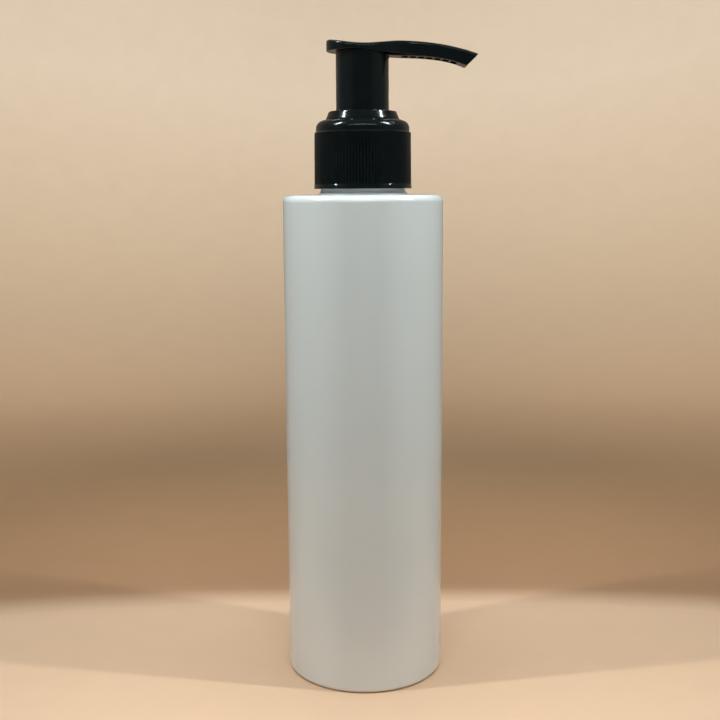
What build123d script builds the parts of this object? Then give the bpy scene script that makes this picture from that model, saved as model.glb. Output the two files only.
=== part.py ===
from build123d import *
from math import isclose, pi, radians, tan
import os

os.makedirs("parts", exist_ok=True)

# A cylindrical bottle with a screw-on lotion pump, in millimetres.
# +Z is up, the origin is the centre of the base on the plane it stands on, and the spout
# points along +X. The pump is drawn at the top of its stroke, screwed down on the bottle.

same_size = 0.01                # two lengths nearer than this are the same
steep = 0.7                     # a face whose normal's Z passes this faces up or down

# ---------------------------------------------------------------- driving sizes
# Bottle body
bottle_radius = 23.25
bottle_height = 142.8           # base to flat shoulder
bottle_wall = 1.2
bottle_floor = 1.5
base_corner = 1.2
base_ring_width = 2.6           # flat ring that the bottle stands on
base_push_up = 2.6              # rise of the dished base at its centre
shoulder_corner = 1.9

# Bottle neck and its thread
neck_height = 16.8
neck_wall = 1.2
neck_flare = 1.7                # concave radius where the neck leaves the shoulder
neck_lip = 0.3
neck_bead_height = 3.2
neck_bead_step = 0.37           # bead radius over the thread radius
thread_radius = 11.83
thread_depth = 1.23
thread_pitch = 3.175
thread_turns = 1.5
thread_base_width = 2.0
thread_crest_width = 0.9
thread_from_lip = 2.6           # lip to the middle of the thread's upper end
thread_bury = 0.2               # how far a ridge's root reaches into its wall

# Screw closure
closure_wall = 1.87
closure_thread_gap = 0.27       # bottle thread crest to closure wall
closure_crest_gap = 0.35        # closure thread crest to bottle neck
closure_lift = 1.8              # shoulder to the closure's lower edge
closure_bead_height = 1.3
closure_bead_step = 0.08
closure_bead_slope = 0.2        # height of the bead's slanted top
closure_crown_height = 3.9      # smooth crown above the ribs
closure_rib_depth = 0.35
closure_rib_count = 96
closure_groove_share = 0.8      # of the pitch, at a groove's mouth
closure_draft = 0.1             # the ribbed skirt narrows by this much
closure_top_step = 0.45         # smooth crown's radius below the ribs' crests
closure_crown_radius = 2.2      # rounding of the crown
closure_crown_slope = 20.6      # degrees
closure_ceiling = 2.3
closure_relief = 0.3            # gap round the neck bead
closure_swivel_gap = 0.1        # closure to the pump pieces it turns round

# Pump housing, gasket and collar
gasket_thickness = 1.0
flange_thickness = 1.2
flange_margin = 0.7             # flange and gasket edge to closure wall
housing_neck_gap = 0.3          # housing to the bottle's bore
housing_wall = 0.8
housing_floor = 1.0
housing_ring_height = 3.3       # snap ring above the flange
press_gap = 0.05                # pieces pushed into one another
collar_sleeve_wall = 0.55
collar_web = 1.0
collar_lip = 0.8                # visible rim outside the closure's hole
collar_height = 2.1             # visible cone
collar_taper = 0.9
collar_edge = 0.3
collar_roof = 1.0
collar_tube_wall = 1.0
collar_tube_height = 10.5
snap_bead = 0.12

# Plunger: head, stem, lower stem and piston
stroke = 13.5
stroke_reserve = 1.5            # spare depth under the shroud at full stroke
press_reserve = 3.2             # head to collar at full stroke
guide_gap = 0.15                # shroud in collar
stem_guide_gap = 0.2            # stem in the collar's tube
shroud_wall = 1.0
shroud_depth = 3.3              # shroud below the collar's top at rest
stem_radius = 3.4
stem_bore = 2.3
stem_tail_radius = 2.7
stem_tail_bore = 1.7
stem_port_radius = 0.7
stem_port_count = 4
socket_wall = 1.1
socket_depth = 10.5             # below the thumb plate
socket_rib_count = 4
socket_rib_width = 0.8
socket_rib_rise = 2.0           # the ribs end above the socket's mouth
duct_wall = 0.9
lost_motion = 1.0               # how far the stem moves before it takes the piston along
running_gap = 0.05              # piston on cylinder and stem
seat_gap = 0.05                 # faces that close on one another

# Cylinder, piston and valve
cylinder_inset = 1.7            # cylinder's outside to the cup's outside
cylinder_wall = 0.9
piston_height = 6.8
piston_skirt = 0.75
piston_waist = 0.25
piston_hub_wall = 1.4
piston_hub_drop = 0.7           # hub ends below and above the skirt's lips
piston_recess_height = 2.7
piston_recess_step = 0.6
piston_web_height = 1.5
lower_stem_length = 7.5
lower_stem_flange = 1.4
lower_stem_flange_gap = 0.9     # flange to the piston's skirt
lower_stem_wall = 0.8
lower_stem_floor = 1.2
spring_wire = 0.8
spring_gap = 0.35               # spring to the lower stem inside it
spring_coils = 10
spring_pressed = 13.3           # its length at full stroke
vent_radius = 0.5
vent_drop = 3.0
ball_radius = 2.4
ball_lift = 1.0
ball_chamber_gap = 0.4
ball_chamber_wall = 1.0
ball_seat_width = 0.2
ball_stop_count = 3
ball_stop_width = 1.0
ball_stop_reach = 1.2
ball_stop_height = 0.6
tube_radius = 2.8
tube_bore = 2.0
tube_socket_depth = 9.0
tube_socket_wall = 0.9
tube_stop = 0.6                 # ball seat's floor
tube_floor_gap = 1.6
tube_cut_angle = 30.0

# Head and spout
head_rear_overhang = 2.65       # thumb plate past the shroud, at its back end
head_overhang = 0.3             # and at its sides
head_straight = 1.85            # straight side between the round back and the narrowing
head_dip_x = 0.6                # lowest point of the thumb rest
head_dip_height = 1.6           # plate thickness there
head_rear_rise = 1.85           # back end over the lowest point
head_crest_x = 11.5
head_crest_rise = 0.95          # crest over the lowest point
spout_start = 16.0              # where the plate has narrowed to the spout
rim_bend_x = 4.5                # the plate's lower edge falls away towards the spout
rim_bend_drop = 0.65
rim_end_x = 13.0
rim_end_drop = 1.13
spout_tip = 32.8
spout_tip_drop = 3.65           # crest to tip
spout_half_width = 3.3
spout_cut_length = 3.4          # slanted mouth, along X and Z
spout_cut_drop = 3.3
spout_root_inset = 1.55         # the spout's lower part starts inside the shroud's wall
spout_root_drop = 1.3           # its underside, as drops below the plate's underside
spout_mid_x = 17.8
spout_mid_drop = 1.85
spout_bend_x = 24.4
spout_bend_drop = 2.8
spout_floor = 2.0               # depth of the spout's lower part
head_edge = 0.7
rim_edge = 0.2
spout_edge = 0.35
channel_radius = 1.0
channel_depth = 1.8             # spout's top to the channel's centre
pocket_count = 7
pocket_start = 3.35             # from the shroud
pocket_pitch = 2.33
pocket_rib = 0.55
pocket_depth = 0.65
pocket_side_wall = 0.9

# ---------------------------------------------------------------- derived sizes
neck_top = bottle_height + neck_height
neck_radius = thread_radius - thread_depth
neck_bore = neck_radius - neck_wall
neck_bead_radius = thread_radius + neck_bead_step
thread_start = neck_top - thread_from_lip - thread_turns * thread_pitch

closure_bottom = bottle_height + closure_lift
closure_bore = thread_radius + closure_thread_gap
closure_radius = closure_bore + closure_wall
flange_bottom = neck_top + gasket_thickness
flange_top = flange_bottom + flange_thickness
closure_ceiling_z = flange_top + closure_swivel_gap
closure_top = closure_ceiling_z + closure_ceiling
rib_bottom = closure_bottom + closure_bead_height
rib_top = closure_top - closure_crown_height
flange_radius = closure_bore - flange_margin

housing_radius = neck_bore - housing_neck_gap
cup_radius = housing_radius - housing_wall
sleeve_outer = cup_radius - press_gap
sleeve_bore = sleeve_outer - collar_sleeve_wall
shroud_radius = sleeve_bore - guide_gap
housing_ring_top = flange_top + housing_ring_height
snap_z = flange_top + housing_ring_height / 2
collar_skirt_outer = housing_radius + collar_sleeve_wall
closure_hole = collar_skirt_outer + closure_swivel_gap
collar_rim_z = closure_top + press_gap
collar_rim_radius = closure_hole + collar_lip
collar_top = collar_rim_z + collar_height

shroud_bottom = collar_top - shroud_depth
cup_floor = shroud_bottom - stroke - stroke_reserve - collar_web
head_base = collar_top + stroke + press_reserve
collar_tube_bore = stem_radius + stem_guide_gap

skirt_top = cup_floor - seat_gap
skirt_bottom = skirt_top - piston_height
hub_top = skirt_top - piston_hub_drop
stem_shoulder = hub_top + lost_motion
hub_bottom = skirt_bottom + piston_hub_drop
plug_top = hub_bottom - seat_gap
plug_flange_bottom = plug_top - lower_stem_flange
plug_bottom = plug_top - lower_stem_length
spring_seat = plug_flange_bottom - stroke - spring_pressed
stem_top = head_base + head_dip_height - channel_depth - channel_radius - press_gap
stem_bottom = plug_bottom + lower_stem_floor

cylinder_outer = housing_radius - cylinder_inset
cylinder_radius = cylinder_outer - cylinder_wall
lip_radius = cylinder_radius - running_gap
piston_skirt_bore = lip_radius - piston_skirt
lower_bore = stem_tail_radius + press_gap
lower_radius = lower_bore + lower_stem_wall
lower_flange_radius = piston_skirt_bore - lower_stem_flange_gap
spring_radius = lower_radius + spring_gap + spring_wire / 2
chamber_radius = ball_radius + ball_chamber_gap
chamber_outer = chamber_radius + ball_chamber_wall
ball_centre = spring_seat - ball_stop_height - ball_lift - ball_radius
seat_contact = ball_radius * 2**0.5 / 2
seat_bore = seat_contact - ball_seat_width
tube_socket_top = ball_centre - ball_radius - tube_stop
tube_socket_bottom = tube_socket_top - tube_socket_depth
tube_socket_radius = tube_radius + press_gap
tube_bottom = base_push_up + bottle_floor + tube_floor_gap


# ---------------------------------------------------------------- shared shapes
def thread_ridge(wall_radius, crest_radius, start_z):
    """One right-hand ridge of trapezoid section that winds up from start_z."""
    into_wall = thread_bury if wall_radius > crest_radius else -thread_bury
    with BuildPart() as ridge:
        with BuildLine() as winding:
            Helix(thread_pitch, thread_turns * thread_pitch, wall_radius, center=(0, 0, start_z))
        path = winding.line
        with BuildSketch(Plane(origin=path @ 0, x_dir=(1, 0, 0), z_dir=path % 0)):
            with BuildLine():
                Polyline(
                    (into_wall, -thread_base_width / 2),
                    (crest_radius - wall_radius, -thread_crest_width / 2),
                    (crest_radius - wall_radius, thread_crest_width / 2),
                    (into_wall, thread_base_width / 2),
                    close=True,
                )
            make_face()
        sweep(path=path, is_frenet=True)
    return ridge.part


def rims_of(piece, radius):
    """The piece's round edges of one radius, lowest first."""
    rims = piece.edges().filter_by(GeomType.CIRCLE)
    return rims.filter_by(lambda rim: isclose(rim.radius, radius, abs_tol=same_size)).sort_by(Axis.Z)


bottle_thread = thread_ridge(neck_radius, thread_radius, thread_start)
closure_thread = thread_ridge(
    closure_bore, neck_radius + closure_crest_gap, thread_start - thread_pitch / 2
)

# ---------------------------------------------------------------- bottle
with BuildPart() as bottle:
    # Solid outside: dished base, straight wall, flat shoulder and neck
    ring_inner = bottle_radius - base_corner - base_ring_width
    with BuildSketch(Plane.XZ):
        with BuildLine():
            dish = TangentArc((0, base_push_up), (ring_inner, 0), tangent=(1, 0))
            Polyline(
                dish @ 1,
                (bottle_radius, 0),
                (bottle_radius, bottle_height),
                (neck_bead_radius, bottle_height),
                (neck_bead_radius, bottle_height + neck_bead_height),
                (neck_radius, bottle_height + neck_bead_height + neck_bead_radius - neck_radius),
                (neck_radius, neck_top),
                (0, neck_top),
                (0, base_push_up),
            )
        make_face()
    revolve(axis=Axis.Z)
    fillet(rims_of(bottle, bottle_radius)[0], base_corner)
    fillet(rims_of(bottle, bottle_radius)[-1], shoulder_corner)
    fillet(rims_of(bottle, neck_bead_radius)[0], neck_flare)
    chamfer(bottle.edges().group_by(Axis.Z)[-1], neck_lip)
    add(bottle_thread)
    # Hollow inside, with the same dish in its floor
    cavity_radius = bottle_radius - bottle_wall
    with BuildSketch(Plane.XZ):
        with BuildLine():
            dish = TangentArc(
                (0, base_push_up + bottle_floor), (ring_inner, bottle_floor), tangent=(1, 0)
            )
            FilletPolyline(
                dish @ 1,
                (cavity_radius, bottle_floor),
                (cavity_radius, bottle_height - bottle_wall),
                (neck_bore, bottle_height - bottle_wall),
                (neck_bore, neck_top),
                radius=base_corner,
            )
            Polyline((neck_bore, neck_top), (0, neck_top), (0, base_push_up + bottle_floor))
        make_face()
    revolve(axis=Axis.Z, mode=Mode.SUBTRACT)

# ---------------------------------------------------------------- screw closure
with BuildPart() as screw_closure:
    crest_top = closure_radius - closure_draft
    crown_radius = crest_top - closure_top_step
    crown_edge = closure_top - (crown_radius - collar_rim_radius) * tan(radians(closure_crown_slope))
    relief_top = bottle_height + neck_bead_height + neck_bead_radius - neck_radius
    with BuildSketch(Plane.XZ):
        with BuildLine():
            Polyline(
                (neck_bead_radius + closure_relief, closure_bottom),
                (closure_radius + closure_bead_step, closure_bottom),
                (closure_radius + closure_bead_step, rib_bottom - closure_bead_slope),
                (closure_radius, rib_bottom),
                (crest_top, rib_top),
                (crown_radius, rib_top + closure_top_step),
            )
            FilletPolyline(
                (crown_radius, rib_top + closure_top_step),
                (crown_radius, crown_edge),
                (collar_rim_radius, closure_top),
                radius=closure_crown_radius,
            )
            Polyline(
                (collar_rim_radius, closure_top),
                (closure_hole, closure_top),
                (closure_hole, closure_ceiling_z),
                (closure_bore, closure_ceiling_z),
                (closure_bore, relief_top + closure_relief),
                (neck_bead_radius + closure_relief, relief_top),
                (neck_bead_radius + closure_relief, closure_bottom),
            )
        make_face()
    revolve(axis=Axis.Z)
    # Grip ribs are what stays between the V grooves; a groove's sides run on past the crests
    groove_half_width = closure_groove_share * 2 * pi * closure_radius / closure_rib_count
    with BuildSketch(Plane.XY.offset(rib_bottom)):
        with PolarLocations(closure_radius, closure_rib_count):
            Polygon(
                (-closure_rib_depth, 0),
                (closure_rib_depth, -groove_half_width),
                (closure_rib_depth, groove_half_width),
                align=None,
            )
    extrude(amount=rib_top - rib_bottom, mode=Mode.SUBTRACT)
    add(closure_thread)

# ---------------------------------------------------------------- neck gasket
with BuildPart() as neck_gasket:
    with BuildSketch(Plane.XY.offset(neck_top)):
        Circle(flange_radius)
        Circle(housing_radius + press_gap, mode=Mode.SUBTRACT)
    extrude(amount=gasket_thickness)

# ---------------------------------------------------------------- pump housing
with BuildPart() as pump_housing:
    with BuildSketch(Plane.XZ):
        with BuildLine():
            Polyline(
                # Outside, from the tube socket up to the snap ring
                (tube_socket_radius, tube_socket_bottom),
                (tube_socket_radius + tube_socket_wall, tube_socket_bottom),
                (tube_socket_radius + tube_socket_wall, tube_socket_top),
                (chamber_outer, ball_centre),
                (chamber_outer, spring_seat - cylinder_wall),
                (cylinder_outer, spring_seat),
                (cylinder_outer, cup_floor - housing_floor - housing_wall),
                (housing_radius, cup_floor - housing_floor),
                (housing_radius, flange_bottom),
                (flange_radius, flange_bottom),
                (flange_radius, flange_top),
                (housing_radius, flange_top),
                (housing_radius, snap_z - 2 * snap_bead),
                (housing_radius + snap_bead, snap_z),
                (housing_radius, snap_z + 2 * snap_bead),
                (housing_radius, housing_ring_top),
                # Inside, from the cup down to the ball seat and the tube socket
                (cup_radius, housing_ring_top),
                (cup_radius, cup_floor),
                (cylinder_radius, cup_floor),
                (cylinder_radius, spring_seat),
                (chamber_radius, spring_seat),
                (chamber_radius, ball_centre - chamber_radius + seat_contact),
                (seat_bore, ball_centre - 2 * seat_contact + seat_bore),
                (seat_bore, tube_socket_top),
                (tube_socket_radius, tube_socket_top),
                close=True,
            )
        make_face()
    revolve(axis=Axis.Z)

    # Ribs over the ball stop it in its chamber
    with BuildSketch(Plane.XY.offset(spring_seat - ball_stop_height)):
        with PolarLocations(chamber_radius + press_gap, ball_stop_count):
            Rectangle(2 * ball_stop_reach, ball_stop_width)
        Circle(chamber_outer - press_gap, mode=Mode.INTERSECT)
    extrude(amount=ball_stop_height)
    # Air enters the bottle here as the liquid leaves
    with Locations(Plane((cylinder_outer, 0, cup_floor - vent_drop), z_dir=(1, 0, 0))):
        Hole(vent_radius, depth=2 * cylinder_wall)

# ---------------------------------------------------------------- stem collar
with BuildPart() as stem_collar:
    cone_top_radius = collar_rim_radius - collar_taper
    roof_bottom = collar_top - collar_roof
    skirt_bore = housing_radius + press_gap
    tube_outer = collar_tube_bore + collar_tube_wall
    with BuildSketch(Plane.XZ):
        with BuildLine():
            Polyline(
                # Skirt through the closure's hole, rim and visible cone
                (skirt_bore, flange_top + press_gap),
                (collar_skirt_outer, flange_top + press_gap),
                (collar_skirt_outer, collar_rim_z),
                (collar_rim_radius, collar_rim_z),
                (cone_top_radius, collar_top),
                (sleeve_bore, collar_top),
                # Well that the head's shroud sinks into, and the tube that guides the stem
                (sleeve_bore, cup_floor + collar_web),
                (tube_outer, cup_floor + collar_web),
                (tube_outer, cup_floor + collar_tube_height),
                (collar_tube_bore, cup_floor + collar_tube_height),
                (collar_tube_bore, cup_floor),
                (sleeve_outer, cup_floor),
                (sleeve_outer, roof_bottom),
                (skirt_bore, roof_bottom),
                (skirt_bore, snap_z + 2 * snap_bead),
                (skirt_bore + snap_bead, snap_z),
                (skirt_bore, snap_z - 2 * snap_bead),
                close=True,
            )
        make_face()
    revolve(axis=Axis.Z)
    fillet(stem_collar.edges().group_by(Axis.Z)[-1].sort_by(SortBy.RADIUS)[-1], collar_edge)

# ---------------------------------------------------------------- dip tube
with BuildPart() as dip_tube:
    with BuildSketch(Plane.XY.offset(tube_bottom)):
        Circle(tube_radius)
        Circle(tube_bore, mode=Mode.SUBTRACT)
    extrude(amount=tube_socket_top - tube_bottom)
    # Slanted end, so that the tube can't seal on the bottle's floor
    slant = Plane((-tube_radius, 0, tube_bottom), z_dir=(0, 0, 1)).rotated((0, -tube_cut_angle, 0))
    split(bisect_by=slant, keep=Keep.TOP)

# ---------------------------------------------------------------- inlet ball
with BuildPart() as inlet_ball:
    with Locations((0, 0, ball_centre + seat_gap)):
        Sphere(ball_radius - seat_gap)

# ---------------------------------------------------------------- return spring
with BuildPart() as return_spring:
    spring_length = plug_flange_bottom - spring_seat
    spring_pitch = spring_length / spring_coils
    with BuildLine() as coil:
        Helix(spring_pitch, spring_length, spring_radius, center=(0, 0, spring_seat))
    with BuildSketch(Plane(origin=coil.line @ 0, z_dir=coil.line % 0)):
        Circle(spring_wire / 2)
    sweep(path=coil.line, is_frenet=True)
    # Both ends are ground flat
    with Locations((0, 0, spring_seat)):
        Cylinder(
            cylinder_radius,
            spring_length,
            align=(Align.CENTER, Align.CENTER, Align.MIN),
            mode=Mode.INTERSECT,
        )

# ---------------------------------------------------------------- piston
with BuildPart() as piston:
    waist_radius = lip_radius - piston_waist
    hub_bore = stem_tail_radius + running_gap
    hub_radius = hub_bore + piston_hub_wall
    recess_bore = hub_bore + piston_recess_step
    recess_top = hub_bottom + piston_recess_height
    web_bottom = (skirt_bottom + skirt_top - piston_web_height) / 2
    web_top = web_bottom + piston_web_height
    with BuildSketch(Plane.XZ):
        with BuildLine():
            Polyline(
                (hub_bore, hub_top),
                (hub_bore, recess_top),
                (recess_bore, recess_top),
                (recess_bore, hub_bottom),
                (hub_radius, hub_bottom),
                (hub_radius, web_bottom),
                (piston_skirt_bore, web_bottom),
                (lip_radius, skirt_bottom),
                (lip_radius, skirt_bottom + piston_skirt),
                (waist_radius, web_bottom),
                (waist_radius, web_top),
                (lip_radius, skirt_top - piston_skirt),
                (lip_radius, skirt_top),
                (piston_skirt_bore, web_top),
                (hub_radius, web_top),
                (hub_radius, hub_top),
                close=True,
            )
        make_face()
    revolve(axis=Axis.Z)

# ---------------------------------------------------------------- piston stem
with BuildPart() as piston_stem:
    with BuildSketch(Plane.XZ):
        with BuildLine():
            Polyline(
                (stem_bore, stem_top),
                (stem_bore, stem_shoulder + stem_radius - stem_tail_radius),
                (stem_tail_bore, stem_shoulder),
                (stem_tail_bore, stem_bottom),
                (stem_tail_radius, stem_bottom),
                (stem_tail_radius, stem_shoulder),
                (stem_radius, stem_shoulder),
                (stem_radius, stem_top),
                close=True,
            )
        make_face()
    revolve(axis=Axis.Z)
    # Ports behind the piston, open once the piston has lifted off the lower stem
    port_z = hub_bottom + piston_recess_height / 2
    with PolarLocations(0, stem_port_count):
        with Locations(Location((0, 0, port_z), (0, 90, 0))):
            Cylinder(
                stem_port_radius,
                stem_radius,
                align=(Align.CENTER, Align.CENTER, Align.MIN),
                mode=Mode.SUBTRACT,
            )

# ---------------------------------------------------------------- lower stem
with BuildPart() as lower_stem:
    with BuildSketch(Plane.XZ):
        with BuildLine():
            Polyline(
                (0, plug_bottom),
                (lower_radius, plug_bottom),
                (lower_radius, plug_flange_bottom),
                (lower_flange_radius, plug_flange_bottom),
                (lower_flange_radius, plug_top),
                (lower_bore, plug_top),
                (lower_bore, stem_bottom),
                (0, stem_bottom),
                close=True,
            )
        make_face()
    revolve(axis=Axis.Z)

# ---------------------------------------------------------------- actuator head
plate_half_width = shroud_radius + head_overhang
head_rear = shroud_radius + head_rear_overhang
rear_centre = plate_half_width - head_rear
head_neck_start = rear_centre + head_straight
spout_root_x = shroud_radius - spout_root_inset
dip_z = head_base + head_dip_height
crest_z = dip_z + head_crest_rise
tip_z = crest_z - spout_tip_drop
mouth_x = spout_tip - spout_cut_length
mouth_z = tip_z - spout_cut_drop
block_height = dip_z + 2 * head_rear_rise - mouth_z

with BuildPart() as spout_block:
    # Lower part of the spout, with its two long edges rounded
    with BuildSketch(Plane.XZ):
        with BuildLine():
            underside = Spline(
                (spout_root_x, head_base - spout_root_drop),
                (spout_mid_x, head_base - spout_mid_drop),
                (spout_bend_x, head_base - spout_bend_drop),
                (mouth_x, mouth_z),
            )
            mouth_slope = spout_cut_length / spout_cut_drop
            Polyline(
                underside @ 1,
                (mouth_x + mouth_slope * spout_floor, mouth_z + spout_floor),
                (spout_mid_x, head_base - spout_mid_drop + spout_floor),
                (spout_root_x, head_base - spout_root_drop + spout_floor),
                underside @ 0,
            )
        make_face()
    extrude(amount=spout_half_width, both=True)
    spout_edges = spout_block.faces().filter_by(lambda face: face.normal_at().Z < -steep).edges()
    fillet(spout_edges.filter_by(lambda line: abs(line.center().Y) > head_edge), spout_edge)

with BuildPart() as actuator_head:
    # Thumb plate and spout from above: a round back that narrows to the spout
    narrowing = (spout_start - head_neck_start) / 3
    with BuildSketch(Plane.XY.offset(mouth_z)):
        with BuildLine():
            rear = CenterArc((rear_centre, 0), plate_half_width, 90, 90)
            side = Line(rear @ 0, (head_neck_start, plate_half_width))
            neck = Bezier(
                side @ 1,
                (head_neck_start + narrowing, plate_half_width),
                (spout_start - narrowing, spout_half_width),
                (spout_start, spout_half_width),
            )
            edge = Line(neck @ 1, (spout_tip, spout_half_width))
            Line(edge @ 1, (spout_tip, 0))
            mirror(about=Plane.XZ)
        make_face()
    extrude(amount=block_height)
    # The same from the side: thumb rest, crest, drooping spout, slanted mouth and lower edge
    with BuildSketch(Plane.XZ):
        with BuildLine():
            rest = TangentArc((head_dip_x, dip_z), (-head_rear, dip_z + head_rear_rise), tangent=(-1, 0))
            swell = (head_crest_x - head_dip_x) / 3
            Bezier(
                rest @ 0,
                (head_dip_x + swell, dip_z),
                (head_crest_x - swell, crest_z),
                (head_crest_x, crest_z),
            )
            top = TangentArc((head_crest_x, crest_z), (spout_tip, tip_z), tangent=(1, 0))
            Polyline(
                top @ 1,
                ((spout_tip + mouth_x) / 2, (tip_z + mouth_z) / 2),
                (rim_end_x, head_base - rim_end_drop),
            )
            Bezier(
                (rim_end_x, head_base - rim_end_drop),
                (rim_bend_x, head_base - rim_bend_drop),
                (head_neck_start, head_base),
            )
            Polyline((head_neck_start, head_base), (-head_rear, head_base), rest @ 1)
        make_face()
    extrude(amount=2 * plate_half_width, both=True, mode=Mode.INTERSECT)
    rim_faces = actuator_head.faces().filter_by(lambda face: face.normal_at().Z < -steep)
    rim_lines = rim_faces.edges().filter_by(lambda line: abs(line.center().Y) > head_edge)
    fillet(rim_lines.filter_by(lambda line: line.center().X < rim_end_x), rim_edge)
    add(spout_block.part)
    thumb_faces = actuator_head.faces().filter_by(lambda face: face.normal_at().Z > steep)
    fillet(thumb_faces.edges().filter_by(lambda line: abs(line.center().Y) > head_edge), head_edge)
    # Shroud that slides in the collar, and inside it the socket for the stem with its ribs
    with BuildSketch(Plane.XY.offset(shroud_bottom)):
        Circle(shroud_radius)
        Circle(shroud_radius - shroud_wall, mode=Mode.SUBTRACT)
    extrude(amount=head_base - shroud_bottom + head_dip_height / 2)
    socket_radius = stem_radius + press_gap + socket_wall
    with BuildSketch(Plane.XY.offset(head_base - socket_depth)):
        Circle(socket_radius)
    extrude(amount=socket_depth + head_dip_height / 2)
    with BuildSketch(Plane.XY.offset(head_base - socket_depth + socket_rib_rise)):
        with PolarLocations((socket_radius + shroud_radius) / 2 - shroud_wall / 2, socket_rib_count):
            Rectangle(shroud_radius - socket_radius, socket_rib_width)
    extrude(amount=socket_depth - socket_rib_rise + head_dip_height / 2)
    # Duct that carries the liquid from the socket through the shroud's wall
    duct_half_width = channel_radius + duct_wall
    with BuildSketch(Plane.XY.offset(stem_top + press_gap - duct_wall)):
        with Locations((shroud_radius / 2, 0)):
            Rectangle(shroud_radius, 2 * duct_half_width)
    extrude(amount=head_base + head_dip_height / 2 - stem_top)
    with BuildSketch(Plane.XY.offset(head_base - socket_depth)):
        Circle(stem_radius + press_gap)
    extrude(amount=stem_top + press_gap - head_base + socket_depth, mode=Mode.SUBTRACT)
    # Liquid channel: up out of the stem, then along the spout under its crest
    with BuildSketch(Plane.XY.offset(stem_top)):
        Circle(stem_bore)
    extrude(amount=press_gap + 2 * channel_radius, mode=Mode.SUBTRACT)
    with BuildLine(Plane.XZ) as channel:
        start = Line((0, dip_z - channel_depth), (head_dip_x, dip_z - channel_depth))
        Bezier(
            start @ 1,
            (head_dip_x + swell, dip_z - channel_depth),
            (head_crest_x - swell, crest_z - channel_depth),
            (head_crest_x, crest_z - channel_depth),
        )
        fall = TangentArc(
            (head_crest_x, crest_z - channel_depth),
            ((spout_tip + mouth_x) / 2, (tip_z + mouth_z) / 2),
            tangent=(1, 0),
        )
        PolarLine(fall @ 1, 2 * channel_radius, direction=fall % 1)
    with BuildSketch(Plane.YZ):
        with Locations((0, dip_z - channel_depth)):
            Circle(channel_radius)
    sweep(path=channel.line, mode=Mode.SUBTRACT)
    # Pockets in the spout's underside, with a thin rib between each two
    with BuildSketch(Plane.XZ):
        for count in range(pocket_count):
            along = spout_root_inset + pocket_start + (count + 0.5) * pocket_pitch
            middle = underside.position_at(along, position_mode=PositionMode.LENGTH)
            slope = underside.tangent_at(along, position_mode=PositionMode.LENGTH)
            with Locations((middle.X, middle.Y)):
                Rectangle(
                    pocket_pitch - pocket_rib,
                    2 * pocket_depth,
                    rotation=slope.get_angle(Vector(1, 0, 0)) * -1,
                )
    extrude(amount=spout_half_width - pocket_side_wall, both=True, mode=Mode.SUBTRACT)

# ---------------------------------------------------------------- export
pieces = {
    "bottle": bottle,
    "screw_closure": screw_closure,
    "neck_gasket": neck_gasket,
    "pump_housing": pump_housing,
    "stem_collar": stem_collar,
    "dip_tube": dip_tube,
    "inlet_ball": inlet_ball,
    "return_spring": return_spring,
    "piston": piston,
    "piston_stem": piston_stem,
    "lower_stem": lower_stem,
    "actuator_head": actuator_head,
}
for name, piece in pieces.items():
    piece.part.label = name
    export_step(piece.part, f"parts/{name}.step")
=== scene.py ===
import math

import bmesh
import bpy
from mathutils import Matrix, Vector


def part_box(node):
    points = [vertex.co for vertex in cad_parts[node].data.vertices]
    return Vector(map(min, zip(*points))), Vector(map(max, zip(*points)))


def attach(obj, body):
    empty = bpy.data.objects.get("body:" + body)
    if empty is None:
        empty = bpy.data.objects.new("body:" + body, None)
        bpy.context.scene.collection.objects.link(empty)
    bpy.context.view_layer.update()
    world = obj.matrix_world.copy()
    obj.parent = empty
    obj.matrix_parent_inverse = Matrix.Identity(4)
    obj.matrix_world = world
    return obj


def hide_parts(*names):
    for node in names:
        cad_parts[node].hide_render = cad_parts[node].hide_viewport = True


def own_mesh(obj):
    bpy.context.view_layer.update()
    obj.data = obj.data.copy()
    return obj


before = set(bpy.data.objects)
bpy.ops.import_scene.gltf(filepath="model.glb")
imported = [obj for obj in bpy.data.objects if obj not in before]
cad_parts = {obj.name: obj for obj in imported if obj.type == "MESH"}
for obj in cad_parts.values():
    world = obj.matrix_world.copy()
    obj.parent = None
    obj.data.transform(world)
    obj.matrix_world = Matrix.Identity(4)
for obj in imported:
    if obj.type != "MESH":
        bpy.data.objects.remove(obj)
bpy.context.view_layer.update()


# ------------------------------------------------------------------ camera
EYE_DISTANCE = 0.3134           # metres from the bottle's axis, along -Y
EYE_HEIGHT = 0.1446
EYE_SIDE = -0.00113             # the bottle stands a little right of the picture's middle
EYE_TILT = 9.118                # degrees down
EYE_ROLL = -0.332               # degrees
LENS = 53.38                    # mm
SENSOR_WIDTH = 36.0             # mm
NEAREST, FURTHEST = 0.01, 50.0  # what the camera draws, in metres


def make_camera():
    data = bpy.data.cameras.new("camera")
    data.lens = LENS
    data.sensor_width = SENSOR_WIDTH
    data.clip_start = NEAREST
    data.clip_end = FURTHEST
    camera = bpy.data.objects.new("camera", data)
    camera.location = (EYE_SIDE, -EYE_DISTANCE, EYE_HEIGHT)
    tilt = Matrix.Rotation(math.radians(90 - EYE_TILT), 3, "X")
    roll = Matrix.Rotation(math.radians(EYE_ROLL), 3, "Z")
    camera.rotation_euler = (tilt @ roll).to_euler()
    bpy.context.collection.objects.link(camera)
    bpy.context.scene.camera = camera


# ------------------------------------------------------------------ node helpers
def new_material(name):
    """A material with its node tree and its Principled shader."""
    material = bpy.data.materials.new(name)
    material.use_nodes = True
    tree = material.node_tree
    shader = tree.nodes["Principled BSDF"]
    return material, tree, shader


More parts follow.
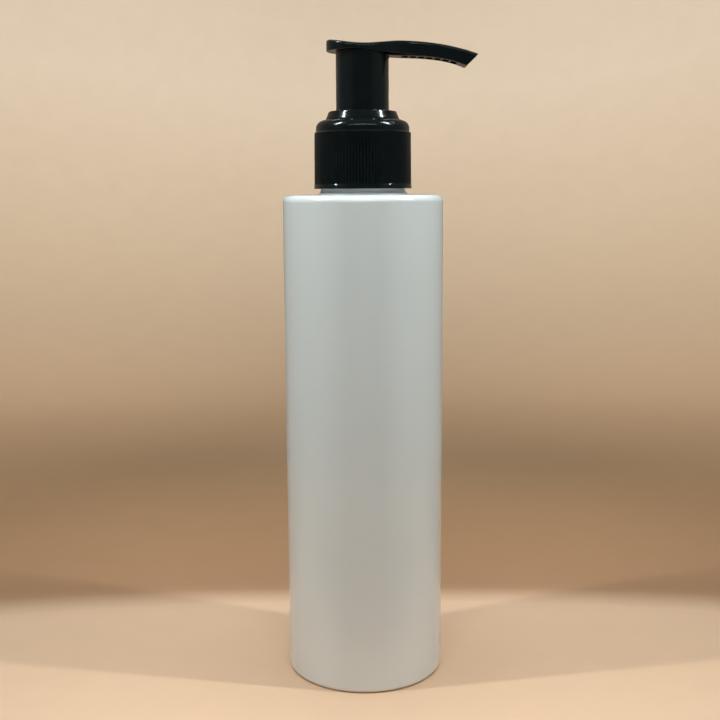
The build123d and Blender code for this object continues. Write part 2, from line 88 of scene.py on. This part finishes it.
def noise(tree, scale, detail=4.0, roughness=0.55, stretch=(1, 1, 1)):
    """A noise texture in metres of the row's own frame."""
    place = tree.nodes.new("ShaderNodeTexCoord")
    mapping = tree.nodes.new("ShaderNodeMapping")
    mapping.inputs["Scale"].default_value = stretch
    texture = tree.nodes.new("ShaderNodeTexNoise")
    texture.inputs["Scale"].default_value = scale
    texture.inputs["Detail"].default_value = detail
    texture.inputs["Roughness"].default_value = roughness
    tree.links.new(place.outputs["Object"], mapping.inputs["Vector"])
    tree.links.new(mapping.outputs["Vector"], texture.inputs["Vector"])
    return texture.outputs["Fac"]


def spread(tree, value, low, high, start=0.35, end=0.65):
    """The value's middle band spread from low to high."""
    node = tree.nodes.new("ShaderNodeMapRange")
    node.inputs["From Min"].default_value = start
    node.inputs["From Max"].default_value = end
    node.inputs["To Min"].default_value = low
    node.inputs["To Max"].default_value = high
    tree.links.new(value, node.inputs["Value"])
    return node.outputs["Result"]


def blend_colour(tree, value, first, second):
    """The value's middle band blended from the first colour to the second."""
    ramp = tree.nodes.new("ShaderNodeValToRGB")
    ramp.color_ramp.elements[0].position = 0.3
    ramp.color_ramp.elements[0].color = (*first, 1)
    ramp.color_ramp.elements[1].position = 0.7
    ramp.color_ramp.elements[1].color = (*second, 1)
    tree.links.new(value, ramp.inputs["Fac"])
    return ramp.outputs["Color"]


def bump(tree, shader, layers):
    """Bumps on top of one another, each a height and its depth in metres."""
    below = None
    for height, depth in layers:
        node = tree.nodes.new("ShaderNodeBump")
        node.inputs["Strength"].default_value = 1.0
        node.inputs["Distance"].default_value = depth
        tree.links.new(height, node.inputs["Height"])
        if below is not None:
            tree.links.new(below, node.inputs["Normal"])
        below = node.outputs["Normal"]
    tree.links.new(below, shader.inputs["Normal"])


# ------------------------------------------------------------------ mesh helper
def smooth_object(name, mesh, material):
    """A smooth-shaded object made from a bmesh, which is freed."""
    data = bpy.data.meshes.new(name)
    mesh.to_mesh(data)
    mesh.free()
    data.polygons.foreach_set("use_smooth", [True] * len(data.polygons))
    data.materials.append(material)
    made = bpy.data.objects.new(name, data)
    bpy.context.collection.objects.link(made)
    return made


# ------------------------------------------------------------------ materials
def white_plastic():
    """Glossy blow-moulded bottle: faint clouding, flow marks, handling smudges."""
    material, tree, shader = new_material("white_plastic")
    clouding = noise(tree, 35.0, detail=2.0)
    tree.links.new(
        blend_colour(tree, clouding, (0.745, 0.755, 0.74), (0.765, 0.77, 0.755)),
        shader.inputs["Base Color"],
    )
    smudge = noise(tree, 70.0, detail=4.0, roughness=0.6)
    tree.links.new(spread(tree, smudge, 0.16, 0.24, start=0.25, end=0.75), shader.inputs["Roughness"])
    shader.inputs["IOR"].default_value = 1.49
    shader.inputs["Subsurface Weight"].default_value = 0.10
    shader.inputs["Subsurface Radius"].default_value = (0.004, 0.0035, 0.003)
    shader.inputs["Coat Weight"].default_value = 0.25
    shader.inputs["Coat Roughness"].default_value = 0.08
    waves = noise(tree, 30.0, detail=1.0, stretch=(1, 1, 0.35))
    grain = noise(tree, 2500.0, detail=2.0)
    bump(tree, shader, [(waves, 0.00004), (grain, 0.000001)])
    return material


def black_plastic():
    """Glossy injection-moulded pump: deep black with fine scuffs and dust."""
    material, tree, shader = new_material("black_plastic")
    mottling = noise(tree, 160.0, detail=5.0)
    tree.links.new(
        blend_colour(tree, mottling, (0.0034, 0.0054, 0.0053), (0.0058, 0.0080, 0.0079)),
        shader.inputs["Base Color"],
    )
    scuffs = noise(tree, 420.0, detail=8.0, roughness=0.75, stretch=(1, 1, 0.3))
    tree.links.new(spread(tree, scuffs, 0.10, 0.19), shader.inputs["Roughness"])
    shader.inputs["IOR"].default_value = 1.50
    grain = noise(tree, 3000.0, detail=2.0)
    flow = noise(tree, 60.0, detail=1.0)
    bump(tree, shader, [(flow, 0.00003), (grain, 0.0000015)])
    return material


def inner_plastic(name, tint, cloudy_tint, rough):
    """Unpigmented polypropylene and polyethylene of the pump's inner pieces."""
    material, tree, shader = new_material(name)
    haze = noise(tree, 220.0, detail=4.0)
    tree.links.new(blend_colour(tree, haze, tint, cloudy_tint), shader.inputs["Base Color"])
    drag = noise(tree, 900.0, detail=5.0, stretch=(1, 1, 0.2))
    tree.links.new(spread(tree, drag, rough - 0.06, rough + 0.08), shader.inputs["Roughness"])
    shader.inputs["IOR"].default_value = 1.49
    shader.inputs["Subsurface Weight"].default_value = 0.25
    shader.inputs["Subsurface Radius"].default_value = (0.003, 0.003, 0.003)
    bump(tree, shader, [(noise(tree, 1800.0, detail=3.0), 0.000004)])
    return material


def foam():
    """Closed-cell gasket foam."""
    material, tree, shader = new_material("gasket_foam")
    cells = noise(tree, 3500.0, detail=3.0)
    tree.links.new(
        blend_colour(tree, cells, (0.60, 0.60, 0.57), (0.80, 0.80, 0.77)), shader.inputs["Base Color"]
    )
    tree.links.new(spread(tree, cells, 0.62, 0.85), shader.inputs["Roughness"])
    bump(tree, shader, [(cells, 0.00006)])
    return material


def spring_steel():
    """Drawn stainless wire."""
    material, tree, shader = new_material("spring_steel")
    drawing = noise(tree, 1500.0, detail=6.0, stretch=(1, 1, 3))
    tree.links.new(
        blend_colour(tree, drawing, (0.50, 0.50, 0.51), (0.66, 0.66, 0.68)), shader.inputs["Base Color"]
    )
    tree.links.new(spread(tree, drawing, 0.20, 0.36), shader.inputs["Roughness"])
    shader.inputs["Metallic"].default_value = 1.0
    bump(tree, shader, [(drawing, 0.000004)])
    return material


def ball_glass():
    """Ground soda-lime ball."""
    material, tree, shader = new_material("ball_glass")
    haze = noise(tree, 700.0, detail=4.0)
    tree.links.new(
        blend_colour(tree, haze, (0.74, 0.84, 0.80), (0.86, 0.92, 0.90)), shader.inputs["Base Color"]
    )
    tree.links.new(spread(tree, haze, 0.04, 0.10), shader.inputs["Roughness"])
    shader.inputs["Transmission Weight"].default_value = 0.85
    shader.inputs["IOR"].default_value = 1.52
    bump(tree, shader, [(haze, 0.000002)])
    return material


def dress(node, material):
    """Gives a CAD node a material in place of its plain one."""
    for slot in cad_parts[node].material_slots:
        slot.material = material


# ------------------------------------------------------------------ return spring
WIRE = 0.0008                   # the wire's diameter in metres
COILS = 10
STEPS_PER_COIL = 36
WIRE_SIDES = 14


def coil_height(turns, low, high):
    """Height of the wire's middle after so many turns, with the first and last turn closed."""
    if turns < 1:
        return low + WIRE * (0.5 + turns)
    if turns > COILS - 1:
        return high - WIRE * (0.5 + COILS - turns)
    open_share = (turns - 1) / (COILS - 2)
    return low + 1.5 * WIRE + open_share * (high - low - 3 * WIRE)


def make_return_spring(material):
    """Wire wound between its two seats."""
    low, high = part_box("return_spring")
    radius = high[0] - WIRE / 2
    mesh = bmesh.new()
    rings = []
    for step in range(COILS * STEPS_PER_COIL + 1):
        turns = step / STEPS_PER_COIL
        outward = Vector((math.cos(math.tau * turns), math.sin(math.tau * turns), 0))
        middle = outward * radius + Vector((0, 0, coil_height(turns, low[2], high[2])))
        ring = []
        for side in range(WIRE_SIDES):
            angle = math.tau * side / WIRE_SIDES
            offset = outward * math.cos(angle) + Vector((0, 0, math.sin(angle)))
            ring.append(mesh.verts.new(middle + offset * WIRE / 2))
        rings.append(ring)
    for lower, upper in zip(rings, rings[1:]):
        for side in range(WIRE_SIDES):
            beside = (side + 1) % WIRE_SIDES
            mesh.faces.new((lower[side], lower[beside], upper[beside], upper[side]))
    mesh.faces.new(reversed(rings[0]))
    mesh.faces.new(rings[-1])
    bmesh.ops.recalc_face_normals(mesh, faces=mesh.faces)
    coil = smooth_object("return_coil", mesh, material)
    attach(coil, "pump_body")
    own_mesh(coil)
    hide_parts("return_spring")


# ------------------------------------------------------------------ every node's material
def dress_all():
    """Every CAD node's material, and the wound spring in place of its node."""
    white, black = white_plastic(), black_plastic()
    natural = inner_plastic("natural_plastic", (0.74, 0.76, 0.74), (0.84, 0.85, 0.83), 0.34)
    seal = inner_plastic("piston_plastic", (0.80, 0.80, 0.76), (0.88, 0.88, 0.85), 0.42)
    dress("bottle", white)
    for node in ("screw_closure", "stem_collar", "actuator_head"):
        dress(node, black)
    for node in ("pump_housing", "dip_tube", "piston_stem", "lower_stem"):
        dress(node, natural)
    dress("piston", seal)
    dress("neck_gasket", foam())
    make_return_spring(spring_steel())
    dress("inlet_ball", ball_glass())


# ------------------------------------------------------------------ studio
FLOOR_RADIUS = 0.40             # flat floor, before it curves up all round
BOUNCE_SHARE = 0.6              # of that radius, the part that bounces light back
CURVE_RADIUS = 0.30
CURVE_STEPS = 16
SPIN_STEPS = 96
WALL_HEIGHT = 1.0
SWEEP_LENGTH = 1.2              # metres of paper that the painted light and shade run over
LIGHT_POOL_SHAPE = (0.25, 1, 0)       # the painted pool of light is four times as wide as it is deep
# painted light and shade, not the paper's own colour: a pale painted pool of light, then painted shade,
# then painted light up the wall
PAINTED_LIGHT_TONES = (                 # painted light and shade on the paper, by metres out from the bottle and twice up the wall
    (0.0, (0.68, 0.44, 0.285)),
    (0.046, (0.77, 0.50, 0.335)),
    (0.062, (0.41, 0.22, 0.12)),
    (0.17, (0.52, 0.29, 0.15)),
    (0.41, (0.66, 0.43, 0.26)),
    (0.63, (0.66, 0.47, 0.31)),
    (0.92, (0.74, 0.56, 0.39)),
    (1.15, (0.82, 0.65, 0.48)),
)


def spin_profile(name, profile, material):
    """A surface of revolution round Z, from its (radius, height) profile."""
    mesh = bmesh.new()
    verts = [mesh.verts.new((radius, 0, height)) for radius, height in profile]
    edges = [mesh.edges.new(pair) for pair in zip(verts, verts[1:])]
    bmesh.ops.spin(
        mesh, geom=verts + edges, cent=(0, 0, 0), axis=(0, 0, 1), angle=math.tau,
        steps=SPIN_STEPS, use_merge=True,
    )
    bmesh.ops.remove_doubles(mesh, verts=mesh.verts, dist=1e-6)
    bmesh.ops.recalc_face_normals(mesh, faces=mesh.faces)
    return smooth_object(name, mesh, material)


def painted_light_paper():
    """Backdrop paper with painted light and shade: a painted pool of light round the bottle, painted
    shade further out and painted light again up the wall.
    """
    material, tree, shader = new_material("paper")
    place = tree.nodes.new("ShaderNodeTexCoord")
    split = tree.nodes.new("ShaderNodeSeparateXYZ")
    tree.links.new(place.outputs["Object"], split.inputs["Vector"])
    flat = tree.nodes.new("ShaderNodeVectorMath")
    flat.operation = "MULTIPLY"
    flat.inputs[1].default_value = LIGHT_POOL_SHAPE
    tree.links.new(place.outputs["Object"], flat.inputs[0])
    out = tree.nodes.new("ShaderNodeVectorMath")
    out.operation = "LENGTH"
    tree.links.new(flat.outputs["Vector"], out.inputs[0])
    along = tree.nodes.new("ShaderNodeMath")
    along.operation = "MULTIPLY_ADD"
    along.inputs[1].default_value = 2
    tree.links.new(split.outputs["Z"], along.inputs[0])
    tree.links.new(out.outputs["Value"], along.inputs[2])
    share = spread(tree, along.outputs["Value"], 0, 1, start=0, end=SWEEP_LENGTH)
    # painted light and shade: a pale painted pool of light near the bottle, painted shade further out,
    # painted light brightening up the wall
    ramp = tree.nodes.new("ShaderNodeValToRGB")
    stops = ramp.color_ramp.elements
    while len(stops) < len(PAINTED_LIGHT_TONES):
        stops.new(1.0)          # the loop below gives it its place and tone
    for stop, (distance, tone) in zip(stops, PAINTED_LIGHT_TONES):
        stop.position = distance / SWEEP_LENGTH
        stop.color = (*tone, 1)
    tree.links.new(share, ramp.inputs["Fac"])
    fibres = tree.nodes.new("ShaderNodeMix")
    fibres.data_type = "RGBA"
    fibres.blend_type = "MULTIPLY"
    fibres.inputs["Factor"].default_value = 1.0
    tree.links.new(ramp.outputs["Color"], fibres.inputs["A"])
    tree.links.new(
        blend_colour(tree, noise(tree, 60.0, detail=6.0), (0.97, 0.97, 0.97), (1, 1, 1)),
        fibres.inputs["B"],
    )
    tree.links.new(fibres.outputs["Result"], shader.inputs["Base Color"])
    shader.inputs["Roughness"].default_value = 0.6
    shader.inputs["Specular IOR Level"].default_value = 0.2
    return material


def make_sweep():
    """A floor with painted light and shade that curves up all round; what lies further out only shows
    to the camera.
    """
    material = painted_light_paper()
    middle = FLOOR_RADIUS * BOUNCE_SHARE
    spin_profile("floor", [(0.0, 0.0), (middle / 2, 0.0), (middle, 0.0)], material)
    profile = [(middle, 0.0), (FLOOR_RADIUS, 0.0)]
    for step in range(1, CURVE_STEPS + 1):
        angle = math.radians(90 * step / CURVE_STEPS)
        profile.append(
            (FLOOR_RADIUS + CURVE_RADIUS * math.sin(angle), CURVE_RADIUS * (1 - math.cos(angle)))
        )
    profile.append((FLOOR_RADIUS + CURVE_RADIUS, WALL_HEIGHT))
    wall = spin_profile("wall", profile, material)
    wall.visible_diffuse = False
    wall.visible_glossy = False
    wall.visible_shadow = False


SIDE_GLOW = (0.085, 0.095, 0.09)
SURROUND_BASE = (0.021, 0.021, 0.023)
SURROUND_GLOWS = (              # the axis, where along it the glow starts and is full, and its colour
    ("X", 0.40, 1.0, SIDE_GLOW),
    ("X", -0.40, -1.0, SIDE_GLOW),
    ("Y", 0.1, 1.0, (0.24, 0.18, 0.13)),
    ("Z", 0.3, 1.0, (0.03, 0.033, 0.034)),
)


def make_surroundings():
    """Soft light from all round: cool sides, warm behind the bottle, dark where the camera stands."""
    world = bpy.data.worlds.new("world")
    world.use_nodes = True
    tree = world.node_tree
    place = tree.nodes.new("ShaderNodeTexCoord")
    split = tree.nodes.new("ShaderNodeSeparateXYZ")
    tree.links.new(place.outputs["Generated"], split.inputs["Vector"])
    total = None
    for axis, start, end, glow in SURROUND_GLOWS:
        share = tree.nodes.new("ShaderNodeMapRange")
        share.interpolation_type = "SMOOTHSTEP"
        share.inputs["From Min"].default_value = start
        share.inputs["From Max"].default_value = end
        tree.links.new(split.outputs[axis], share.inputs["Value"])
        add = tree.nodes.new("ShaderNodeVectorMath")
        add.operation = "MULTIPLY_ADD"
        tree.links.new(share.outputs["Result"], add.inputs[0])
        add.inputs[1].default_value = glow
        if total is None:
            add.inputs[2].default_value = SURROUND_BASE
        else:
            tree.links.new(total, add.inputs[2])
        total = add.outputs["Vector"]
    tree.links.new(total, tree.nodes["Background"].inputs["Color"])
    tree.nodes["Background"].inputs["Strength"].default_value = 1.0
    bpy.context.scene.world = world


WHITE = (1, 1, 1)
COOL = (0.87, 0.985, 1.0)
WASHES = 8                      # lights on the wall, all round
WASH_FROM, WASH_TO = (0.20, 0.45), (0.70, 0.22)     # each one's radius and height, and its target's


def area_light(name, place, target, size, power, colour=COOL):
    """A rectangular light in watts, unseen by the camera, that faces its target."""
    data = bpy.data.lights.new(name, "AREA")
    data.shape = "RECTANGLE"
    data.size, data.size_y = size
    data.energy = power
    data.color = colour
    light = bpy.data.objects.new(name, data)
    light.location = place
    light.rotation_euler = (Vector(target) - Vector(place)).to_track_quat("-Z", "Y").to_euler()
    light.visible_camera = False
    bpy.context.collection.objects.link(light)
    return light


def fill_light(name, place, target, size, power, colour=COOL, cone=180):
    """An area light that leaves no reflection, with its cone in degrees."""
    light = area_light(name, place, target, size, power, colour)
    light.data.spread = math.radians(cone)
    light.visible_glossy = False


def light_studio():
    """Soft lights from above, in front and on the wall, and thin strips that leave the highlights."""
    fill_light("top", (0, 0.02, 0.50), (0, 0, 0), (0.20, 0.20), 0.12, cone=60)
    for turn in range(WASHES):
        angle = math.tau * turn / WASHES
        place, target = (
            (radius * math.sin(angle), radius * math.cos(angle), height)
            for radius, height in (WASH_FROM, WASH_TO)
        )
        fill_light(f"wash_{turn}", place, target, (0.20, 0.12), 0.75, WHITE, cone=120)
    fill_light("front", (0, -0.32, 0.46), (0, 0, 0.13), (0.3, 0.1), 0.80)
    for side, name in ((-1, "left"), (1, "right")):
        area_light(f"strip_{name}", (side * 0.23, -0.07, 0.37), (0, -0.02, 0.12), (0.010, 0.14), 0.68)
    area_light("strip_rear", (0, 0.24, 0.38), (0, 0, 0.15), (0.20, 0.006), 0.05)
    area_light("strip_front", (0, -0.29, 0.33), (0, 0, 0.15), (0.40, 0.006), 0.20)
    bpy.context.scene.view_settings.view_transform = "Standard"


make_camera()
dress_all()
make_sweep()
make_surroundings()
light_studio()
